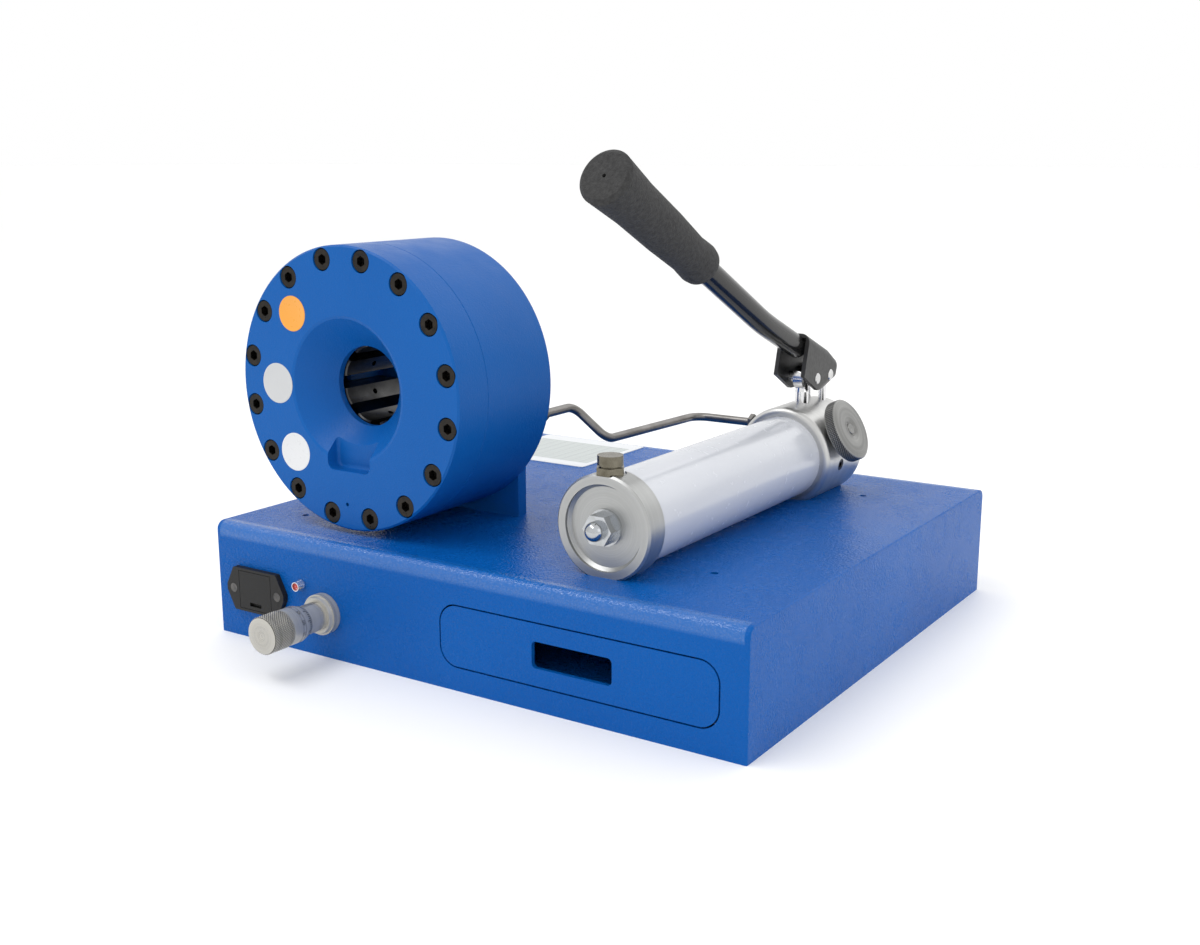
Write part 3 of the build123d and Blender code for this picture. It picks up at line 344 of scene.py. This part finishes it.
def plainMetal(name, color, dark, roughness, metallic=1.0, cloud=30.0, grain=900.0, stretch=(1, 1, 1)):
    material, tree, shader = newMaterial(name)
    metal = placeGroup(tree, metalGrain, color=color, dark=dark, cloud=cloud, grain=grain, stretch=stretch,
                       roughness=roughness)
    tree.links.new(metal["Color"], shader.inputs["Base Color"])
    tree.links.new(metal["Roughness"], shader.inputs["Roughness"])
    bump(tree, shader, metal["Height"], 0.00001)
    finish(shader, metallic=metallic)
    return material


def moulded(name, color, roughness, grain, distance, coat=0.0, mottle=0.15, specular=0.5):
    material, tree, shader = newMaterial(name)
    light = tuple(min(1.0, c * (1 + mottle) + 0.003) for c in color)
    skin = placeGroup(tree, mouldedGrain, color=color, light=light, grain=grain, roughness=roughness)
    tree.links.new(skin["Color"], shader.inputs["Base Color"])
    tree.links.new(skin["Roughness"], shader.inputs["Roughness"])
    bump(tree, shader, skin["Height"], distance)
    finish(shader, coat=coat, specular=specular)
    return material


# ---- places and sizes in mm, shared by the finishes and the pieces
head = {"x": -99.5, "z": 171.0, "front": -163.0}
pump = {"x": 87.3, "z": 106.4, "front": -153.2}
dial = {"x": -103.5, "z": 30.0, "front": -186.0, "start": 21.0, "length": 33.6, "knurl": 16.5,
        "plain": 11.7, "knurled": 12.1, "bore": 9.5, "lip": 0.4, "sleeve": 9.4, "bevel": 6.0,
        "rows": 74, "teeth": 44, "pitch": 1.65, "depth": 0.5, "steps": 352}
knob = {"angle": 27.0, "y": 106.0, "reach": 37.4, "radius": 22.5, "thick": 9.0, "chamfer": 1.4, "stem": 20.3,
        "rows": 27, "teeth": 72, "pitch": 1.9, "depth": 0.6, "steps": 576}
headAxis = (head["x"], head["front"], head["z"])
pumpAxis = (pump["x"], pump["front"], pump["z"])
dialAxis = (dial["x"], dial["front"], dial["z"])
knobTurn = math.radians(knob["angle"])
knobDirection = (math.cos(knobTurn), 0, math.sin(knobTurn))
knobCenter = (pump["x"] + knob["reach"] * knobDirection[0], knob["y"],
              pump["z"] + knob["reach"] * knobDirection[2])

coatBlue = powderCoat("coatBlue", (0.0022, 0.100, 0.40), (0.0016, 0.088, 0.365), 620.0, 0.0007, 0.24, 0.11,
                      bend=(196.9, 180.0, 71.0, 6.1, 7.4))
headBlue = powderCoat("headBlue", (0.004, 0.104, 0.39), (0.003, 0.094, 0.36), 900.0, 0.0002, 0.34, 0.15)
capMetal = turnedMetal("capMetal", (0.47, 0.475, 0.47), (0.35, 0.355, 0.35), pumpAxis, (0, 1, 0), 0.36)
blockMetal = turnedMetal("blockMetal", (0.64, 0.64, 0.63), (0.48, 0.48, 0.47), pumpAxis, (0, 1, 0), 0.33)
dialMetal = turnedMetal("dialMetal", (0.57, 0.555, 0.51), (0.36, 0.35, 0.32), dialAxis, (0, 1, 0), 0.28,
                        metallic=0.45, pitch=2200.0, knurled=(11.6, 12.05, -54.4, -38.2))
knobMetal = turnedMetal("knobMetal", (0.32, 0.32, 0.31), (0.18, 0.18, 0.175), knobCenter, knobDirection, 0.33,
                        metallic=0.8, knurled=(21.9, 22.4, 1.4, 7.8))
ringMetal = turnedMetal("ringMetal", (0.42, 0.42, 0.42), (0.3, 0.3, 0.3), headAxis, (0, 1, 0), 0.3)
oxideBlack = plainMetal("oxideBlack", (0.018, 0.017, 0.016), (0.034, 0.028, 0.022), 0.3, 0.8, 260.0)
jawDark = plainMetal("jawDark", (0.045, 0.045, 0.047), (0.03, 0.03, 0.03), 0.36, 0.9, 50.0, 1200.0, (1, 0.05, 1))
dieDark = plainMetal("dieDark", (0.07, 0.07, 0.07), (0.035, 0.035, 0.035), 0.3, 0.95, 60.0, 1500.0, (1, 0.05, 1))
chromeBright = plainMetal("chromeBright", (0.78, 0.78, 0.79), (0.7, 0.7, 0.71), 0.14, 1.0, 60.0, 500.0)
zincBright = plainMetal("zincBright", (0.50, 0.52, 0.545), (0.40, 0.41, 0.41), 0.17, 1.0, 90.0, 700.0)
nickelBrass = plainMetal("nickelBrass", (0.20, 0.185, 0.145), (0.12, 0.108, 0.08), 0.26, 1.0, 120.0, 900.0)
pipeSteel = plainMetal("pipeSteel", (0.27, 0.26, 0.25), (0.18, 0.17, 0.16), 0.34, 1.0, 45.0, 800.0)
groundSteel = plainMetal("groundSteel", (0.66, 0.66, 0.66), (0.52, 0.52, 0.52), 0.26, 1.0, 60.0, 1000.0)
springSteel = plainMetal("springSteel", (0.30, 0.30, 0.31), (0.2, 0.2, 0.2), 0.3, 1.0, 100.0, 900.0)
blackGloss = moulded("blackGloss", (0.006, 0.006, 0.006), 0.17, 500.0, 0.00003, coat=0.1, specular=0.35)
blackSatin = moulded("blackSatin", (0.012, 0.012, 0.012), 0.38, 420.0, 0.00008)
blackPlastic = moulded("blackPlastic", (0.011, 0.011, 0.011), 0.45, 1400.0, 0.00008, specular=0.28)
screwDark = plainMetal("screwDark", (0.15, 0.145, 0.14), (0.07, 0.07, 0.07), 0.2, 1.0, 260.0)
sealRubber = moulded("sealRubber", (0.03, 0.02, 0.012), 0.55, 900.0, 0.00002)
contactGold = plainMetal("contactGold", (0.72, 0.68, 0.55), (0.6, 0.55, 0.4), 0.25, 1.0)


def enamel():
    material, tree, shader = newMaterial("whiteEnamel")
    coords = objectCoords(tree)
    streak = noise(tree, coords, 60.0, 3.0, 0.5, (1, 0.15, 1))
    base = mixColors(tree, remap(tree, streak, 0.35, 0.7, 0, 1), (0.60, 0.62, 0.665), (0.565, 0.585, 0.635))
    tree.links.new(base, shader.inputs["Base Color"])
    rough = remap(tree, noise(tree, coords, 150.0, 3.0), 0.3, 0.7, 0.2, 0.28)
    tree.links.new(rough, shader.inputs["Roughness"])
    bump(tree, shader, noise(tree, coords, 260.0, 2.0), 0.00002)
    finish(shader, coat=0.3, coatRough=0.1)
    return material


def zincSheet():
    material, tree, shader = newMaterial("zincSheet")
    coords = objectCoords(tree)
    spangle = cells(tree, coords, 130.0, output="Color")
    tone = tree.nodes.new("ShaderNodeRGBToBW")
    tree.links.new(spangle, tone.inputs["Color"])
    base = mixColors(tree, tone.outputs["Val"], (0.44, 0.46, 0.48), (0.58, 0.60, 0.62))
    tree.links.new(base, shader.inputs["Base Color"])
    tree.links.new(remap(tree, tone.outputs["Val"], 0, 1, 0.3, 0.46), shader.inputs["Roughness"])
    bump(tree, shader, noise(tree, coords, 300.0, 3.0), 0.00002)
    finish(shader, metallic=0.9)
    return material


def foam():
    material, tree, shader = newMaterial("foamRubber")
    coords = objectCoords(tree)
    cell = cells(tree, coords, 900.0)
    clump = noise(tree, coords, 420.0, 4.0, 0.7)
    base = mixColors(tree, remap(tree, clump, 0.35, 0.65, 0, 1), (0.020, 0.020, 0.0205), (0.042, 0.042, 0.0425))
    tree.links.new(base, shader.inputs["Base Color"])
    height = calc(tree, "ADD", clump, calc(tree, "MULTIPLY", cell, 0.6))
    bump(tree, shader, height, 0.00045)
    finish(shader, roughness=0.82)
    return material


def lens():
    material, tree, shader = newMaterial("redLens")
    coords = objectCoords(tree)
    glow = noise(tree, coords, 700.0, 2.0)
    tree.links.new(mixColors(tree, glow, (0.50, 0.018, 0.014), (0.72, 0.05, 0.03)), shader.inputs["Base Color"])
    bump(tree, shader, glow, 0.00002)
    finish(shader, coat=0.8, coatRough=0.04, roughness=0.16)
    return material


chart = {"x": (-184.0, -86.0), "y": (84.0, 178.0), "z": 77.0, "thick": 0.5, "round": 3.0}


# a bare data plate: white film with an empty ruled table
def chartFilm():
    material, tree, shader = newMaterial("chartFilm")
    coords = objectCoords(tree)
    parts = tree.nodes.new("ShaderNodeSeparateXYZ")
    tree.links.new(coords, parts.inputs["Vector"])
    def inside(value, low, high):
        above = calc(tree, "GREATER_THAN", value, low * mm)
        return calc(tree, "MULTIPLY", above, calc(tree, "LESS_THAN", value, high * mm))
    def rules(value, pitch, width):
        phase = calc(tree, "FRACT", calc(tree, "MULTIPLY", value, 1 / (pitch * mm)))
        return calc(tree, "LESS_THAN", phase, width)
    x, y = parts.outputs["X"], parts.outputs["Y"]
    panel = calc(tree, "MULTIPLY", inside(x, chart["x"][0] + 5, chart["x"][1] - 5),
                 inside(y, chart["y"][0] + 13, chart["y"][1] - 16))
    lines = calc(tree, "MAXIMUM", rules(x, 9.0, 0.06), rules(y, 5.0, 0.09))
    lines = calc(tree, "MULTIPLY", lines, panel)
    base = mixColors(tree, panel, (0.74, 0.76, 0.78), (0.50, 0.545, 0.53))
    base = mixColors(tree, lines, base, (0.30, 0.33, 0.34))
    tree.links.new(base, shader.inputs["Base Color"])
    bump(tree, shader, noise(tree, coords, 300.0, 2.0), 0.00002)
    finish(shader, coat=0.3, coatRough=0.12, roughness=0.35)
    return material


foamRubber = foam()
redLens = lens()
whiteEnamel = enamel()
sheetZinc = zincSheet()
filmWhite = moulded("filmWhite", (0.70, 0.71, 0.72), 0.3, 500.0, 0.00002, coat=0.3, mottle=0.05)
filmSilver = moulded("filmSilver", (0.52, 0.53, 0.54), 0.34, 500.0, 0.00002, coat=0.3, mottle=0.08)
filmAmber = moulded("filmAmber", (0.80, 0.33, 0.03), 0.3, 500.0, 0.00002, coat=0.3, mottle=0.06)
inkDark = moulded("inkDark", (0.02, 0.02, 0.022), 0.5, 900.0, 0.00001)

nodeMaterials = {
    "base_cover": coatBlue, "end_panels": coatBlue, "drawer_front": coatBlue,
    "head_cover": headBlue, "head_body": headBlue, "head_foot_plate": headBlue,
    "head_screws": oxideBlack, "mount_screws": oxideBlack, "bottom_screws": oxideBlack,
    "relief_plug": oxideBlack, "inlet_screws": screwDark, "ring_piston": ringMetal,
    "micrometer_flange": dialMetal, "micrometer_sleeve": dialMetal, "micrometer_spindle": groundSteel,
    "pump_front_cap": capMetal, "pump_block": blockMetal, "tie_rod": groundSteel,
    "clevis_pins": groundSteel, "reservoir_tube": whiteEnamel, "pump_piston": chromeBright,
    "fulcrum_links": chromeBright, "lamp_bezel": chromeBright, "cap_nut": zincBright,
    "filler_plug": nickelBrass, "pressure_pipe": pipeSteel, "pipe_fittings": pipeSteel,
    "lever_tube": blackGloss, "lever_clevis": blackSatin, "foam_grip": foamRubber,
    "power_inlet": blackPlastic, "fuse_carrier": blackPlastic, "inlet_contacts": contactGold,
    "lamp_lens": redLens, "bottom_plate": sheetZinc, "drawer_tray": coatBlue,
    "drawer_runners": sheetZinc, "piston_seals": sealRubber}
for k in range(1, 9):
    nodeMaterials[f"master_jaw_{k}"] = jawDark
    nodeMaterials[f"die_segment_{k}"] = dieDark
for name, material in nodeMaterials.items():
    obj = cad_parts[name]
    obj.data.materials.clear()
    obj.data.materials.append(material)
print("stage: materials")


# ---- jaw springs: two coils beside each second jaw; out is the jaws' stroke, as they are drawn open
springs = {"reach": 46.0, "out": 10.0, "y": -121.7, "inset": 8.8, "length": 25.25, "coil": 2.0, "wire": 0.4,
           "turns": 11, "stepsPerTurn": 20, "sides": 7}


def makeSprings():
    half = math.radians(22.5)
    for k in (2, 4, 6, 8):
        turn = math.radians(22.5 + 45 * (k - 1))
        bm = bmesh.new()
        for side in (-1, 1):
            normal = (-side * math.sin(side * half), side * math.cos(side * half))
            x = springs["reach"] * math.cos(half) - springs["inset"] * normal[0] + springs["out"]
            z = springs["reach"] * math.sin(side * half) - springs["inset"] * normal[1]
            place = (head["x"] + x * math.cos(turn) - z * math.sin(turn), springs["y"],
                     head["z"] + x * math.sin(turn) + z * math.cos(turn))
            aim = (normal[0] * math.cos(turn) - normal[1] * math.sin(turn), 0,
                   normal[0] * math.sin(turn) + normal[1] * math.cos(turn))
            coilInto(bm, along(place, aim, (0, 1, 0)))
        name = f"jawSprings{k}"
        obj = makeObject(name, meshFrom(bm, name, 80), f"jaw_{k}", springSteel)
        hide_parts(f"jaw_springs_{k}")


def coilInto(bm, matrix):
    wire = springs["wire"]
    count = springs["turns"] * springs["stepsPerTurn"]
    stand = Matrix(((0, 1, 0, springs["coil"]), (0, 0, -1, 0), (-1, 0, 0, wire), (0, 0, 0, 1)))
    before = set(bm.verts)
    start = bmesh.ops.create_circle(bm, cap_ends=True, segments=springs["sides"], radius=wire, matrix=stand)
    face = start["verts"][0].link_faces[0]
    rise = (springs["length"] - 2 * wire) / count
    bmesh.ops.spin(bm, geom=list(face.verts) + list(face.edges) + [face], cent=(0, 0, 0), axis=(0, 0, 1),
                   dvec=(0, 0, rise), angle=2 * math.pi * springs["turns"], steps=count)
    made = [vert for vert in bm.verts if vert not in before]
    bmesh.ops.transform(bm, matrix=matrix, verts=made)
    bmesh.ops.recalc_face_normals(bm, faces=list({face for vert in made for face in vert.link_faces}))


makeSprings()


# ---- diamond knurl: two crossed helices cut into the rim of a turned piece
def knurlShape(piece, limit):
    def shape(dist, angle, radius):
        if radius < limit:
            return radius
        around = piece["teeth"] * angle / (2 * math.pi)
        climb = dist / piece["pitch"]
        ridges = [abs(((around + side * climb) % 1) - 0.5) * 2 for side in (1, -1)]
        return radius - piece["depth"] * max(ridges) ** 1.5
    return shape


def makeThimble():
    start = dial["start"]
    end = start + dial["length"]
    rim = end - dial["knurl"]
    rows = dial["rows"]
    plain = dial["plain"]
    profile = [(start, dial["bore"]), (start, dial["bore"] + dial["lip"]), (start + dial["bevel"], plain),
               (rim - 0.5, plain), (rim - 0.4, plain - 0.3), (rim, plain - 0.3), (rim, plain)]
    profile += [(rim + 0.3 + (dial["knurl"] - 1.3) * row / rows, dial["knurled"]) for row in range(rows + 1)]
    profile += [(end - 0.3, plain - 0.3), (end, plain - 1.0), (end, 2.2), (end - 0.5, 1.0), (end - 0.5, 0)]
    matrix = along(dialAxis, (0, -1, 0), (1, 0, 0))
    mesh = lathe("micrometerThimble", profile, matrix, dial["steps"], knurlShape(dial, plain + 0.2), 40)
    obj = makeObject("micrometerThimble", mesh, "thimble", dialMetal)
    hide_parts("micrometer_thimble")


def makeKnob():
    thick, radius, chamfer, rows = knob["thick"], knob["radius"], knob["chamfer"], knob["rows"]
    profile = [(-knob["stem"], 0), (-knob["stem"], 3.0), (0, 3.0), (0, radius - chamfer),
               (chamfer * 0.8, radius - 0.2)]
    profile += [(chamfer + (thick - 2 * chamfer) * row / rows, radius) for row in range(rows + 1)]
    profile += [(thick - chamfer * 0.7, radius - 0.4), (thick, radius - chamfer - 0.3), (thick, 6.2),
                (thick - 0.5, 5.6), (thick - 1.2, 4.8), (thick - 1.2, 4.2), (thick - 0.4, 3.8),
                (thick - 0.3, 0.9), (thick - 0.7, 0)]
    matrix = along(knobCenter, knobDirection, (0, 1, 0))
    mesh = lathe("releaseKnob", profile, matrix, knob["steps"], knurlShape(knob, radius - 0.1), 40)
    obj = makeObject("releaseKnob", mesh, "release", knobMetal)
    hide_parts("release_knob")


makeThimble()
makeKnob()
print("stage: knurled pieces")


# ---- flat film pieces
# name, place from the head's axis, radius and film of each bare disc
stickers = [("stickerTop", -43.9, 46.0, 11.4, filmAmber), ("stickerMid", -59.7, -0.3, 13.2, filmSilver),
            ("stickerLow", -46.4, -44.6, 12.6, filmWhite)]


def makeStickers():
    for name, dx, dz, radius, film in stickers:
        profile = [(0, radius), (0.12, radius), (0.16, radius - 0.1), (0.16, radius - 1.0), (0.13, radius - 1.1),
                   (0.13, 0)]
        place = (head["x"] + dx, head["front"], head["z"] + dz)
        mesh = lathe(name, profile, along(place, (0, -1, 0), (1, 0, 0)), 72)
        makeObject(name, mesh, "frame", film)


def makeChart():
    bm = bmesh.new()
    (lowX, highX), (lowY, highY) = chart["x"], chart["y"]
    center = ((lowX + highX) / 2, (lowY + highY) / 2, chart["z"] + chart["thick"] / 2)
    bmesh.ops.create_cube(bm, size=1.0)
    bmesh.ops.scale(bm, vec=(highX - lowX, highY - lowY, chart["thick"]), verts=bm.verts)
    bmesh.ops.translate(bm, vec=center, verts=bm.verts)
    upright = [e for e in bm.edges if abs(e.verts[0].co.z - e.verts[1].co.z) > 0.1]
    bmesh.ops.bevel(bm, geom=upright, offset=chart["round"], offset_type="OFFSET", affect="EDGES", segments=6,
                    profile=0.5, material=-1)
    bmesh.ops.scale(bm, vec=(mm, mm, mm), verts=bm.verts)
    makeObject("chartPlate", meshFrom(bm, "chartPlate"), "frame", chartFilm())


makeStickers()
makeChart()


# ---- micrometer marks: short inked lines and plain numbers, laid on the turned surfaces
marks = {"lift": 0.03, "halfTurn": 0.026, "lineWidth": 0.34, "numberGap": 2.4, "thimbleSize": 3.3,
         "sleeveSize": 2.8, "zeroAt": 9.0, "baseFrom": 8.2, "lastLine": 8.6}


# wraps flat points, x in radians and y in mm, round the axis
def wrapRound(verts, radiusAt, dist, angle):
    for vert in verts:
        at = dist + vert.co.y
        turn = angle + vert.co.x
        radius = radiusAt(at)
        vert.co = (radius * math.cos(turn), radius * math.sin(turn), at)


def lineInto(bm, radiusAt, dist, angle, length, turnWidth):
    steps = max(1, int(turnWidth / 0.1))
    made = bmesh.ops.create_grid(bm, x_segments=steps, y_segments=1, size=0.5)["verts"]
    bmesh.ops.scale(bm, vec=(turnWidth, length, 1), verts=made)
    wrapRound(made, radiusAt, dist, angle)


def numberInto(bm, text, size, radiusAt, dist, angle):
    curve = bpy.data.curves.new("numberText", "FONT")
    curve.body = text
    curve.size = size
    curve.align_x = "CENTER"
    curve.align_y = "CENTER"
    holder = bpy.data.objects.new("numberText", curve)
    mesh = bpy.data.meshes.new_from_object(holder)
    bpy.data.objects.remove(holder)
    count = len(bm.verts)
    bm.from_mesh(mesh)
    bm.verts.ensure_lookup_table()
    made = bm.verts[count:]
    bmesh.ops.scale(bm, vec=(1 / radiusAt(dist), 1, 1), verts=made)
    wrapRound(made, radiusAt, dist, angle)
    bpy.data.meshes.remove(mesh)


def finishMarks(bm, name, body):
    bmesh.ops.transform(bm, matrix=along(dialAxis, (0, -1, 0), (1, 0, 0)), verts=bm.verts)
    makeObject(name, meshFrom(bm, name), body, inkDark)


def makeMarks():
    start, lip, top = dial["start"], dial["bore"] + dial["lip"], math.pi / 2
    slope = (dial["plain"] - lip) / dial["bevel"]
    def bevelRadius(dist):
        return lip + slope * (dist - start) + marks["lift"]
    def plainRadius(dist):
        return dial["plain"] + marks["lift"]
    def sleeveRadius(dist):
        return dial["sleeve"] + marks["lift"]
    bm = bmesh.new()
    for k in range(50):
        length = 4.2 if k % 5 == 0 else 2.6
        lineInto(bm, bevelRadius, start + 0.3 + length / 2, top + 2 * math.pi * k / 50, length,
                 2 * marks["halfTurn"])
    for k in range(0, 50, 5):
        numberInto(bm, str(k), marks["thimbleSize"], plainRadius, start + dial["bevel"] + marks["numberGap"],
                   top + 2 * math.pi * k / 50)
    finishMarks(bm, "thimbleMarks", "thimble")
    bm = bmesh.new()
    zero = start + marks["zeroAt"]
    lineInto(bm, sleeveRadius, (marks["baseFrom"] + zero) / 2, top, zero - marks["baseFrom"], 0.02)
    for k in range(int(zero - marks["lastLine"]) + 1):
        turnWidth = 0.34 if k % 5 == 0 else 0.2
        lineInto(bm, sleeveRadius, zero - k, top + turnWidth / 2, marks["lineWidth"], turnWidth)
        lineInto(bm, sleeveRadius, zero - k - 0.5, top - 0.1, marks["lineWidth"], 0.2)
    for value in (0, 5, 10):
        numberInto(bm, str(value), marks["sleeveSize"], sleeveRadius, start - 1 - value, top + 0.56)
    finishMarks(bm, "sleeveMarks", "frame")


makeMarks()
print("stage: marks")


# ---- floor, light and camera
floorWhite = {"color": (0.96, 0.955, 0.945, 1), "roughness": 0.6, "glow": (0.85, 0.92, 1, 1), "strength": 0.05,
              "size": 40.0}
# place and target in metres, power in watts, size across and up in metres
softboxes = {
    "keyLight": {"place": (-0.5, -0.75, 1.6), "target": (0.0, 0.0, 0.1), "power": 9.0, "size": (1.5, 0.22)},
    "rearLight": {"place": (0.4, 1.6, 1.3), "target": (0.0, 0.0, 0.1), "power": 4.0, "size": (1.6, 1.6)},
    "sideLight": {"place": (1.9, -0.2, 0.9), "target": (0.1, 0.0, 0.1), "power": 2.0, "size": (1.1, 1.1)}}
camera = {"place": (0.5125, -0.8058, 0.3159), "pitch": 77.24, "yaw": 33.19, "lens": 42.06}


def makeFloor():
    material, tree, shader = newMaterial("floorWhite")
    shader.inputs["Base Color"].default_value = floorWhite["color"]
    shader.inputs["Roughness"].default_value = floorWhite["roughness"]
    shader.inputs["Emission Color"].default_value = floorWhite["glow"]
    shader.inputs["Emission Strength"].default_value = floorWhite["strength"]
    bm = bmesh.new()
    bmesh.ops.create_grid(bm, x_segments=4, y_segments=4, size=floorWhite["size"])
    mesh = bpy.data.meshes.new("floor")
    bm.to_mesh(mesh)
    bm.free()
    mesh.materials.append(material)
    floor = bpy.data.objects.new("floor", mesh)
    bpy.context.scene.collection.objects.link(floor)


def makeStudio():
    world = bpy.data.worlds.new("studio")
    world.use_nodes = True
    background = world.node_tree.nodes["Background"]
    background.inputs["Color"].default_value = (1.0, 1.0, 1.0, 1)
    background.inputs["Strength"].default_value = 1.0
    bpy.context.scene.world = world
    for name, box in softboxes.items():
        light = bpy.data.lights.new(name, "AREA")
        light.shape = "RECTANGLE"
        light.size, light.size_y = box["size"]
        light.energy = box["power"]
        obj = bpy.data.objects.new(name, light)
        obj.location = box["place"]
        aim = Vector(box["target"]) - Vector(box["place"])
        obj.rotation_euler = aim.to_track_quat("-Z", "Y").to_euler()
        bpy.context.scene.collection.objects.link(obj)


def makeCamera():
    data = bpy.data.cameras.new("mainCamera")
    data.lens = camera["lens"]
    data.sensor_width = 36.0
    data.clip_start = 0.01
    obj = bpy.data.objects.new("mainCamera", data)
    obj.location = camera["place"]
    obj.rotation_euler = (math.radians(camera["pitch"]), 0, math.radians(camera["yaw"]))
    bpy.context.scene.collection.objects.link(obj)
    bpy.context.scene.camera = obj
    bpy.context.scene.view_settings.view_transform = "Standard"


makeFloor()
makeStudio()
makeCamera()
print("stage: light and camera")
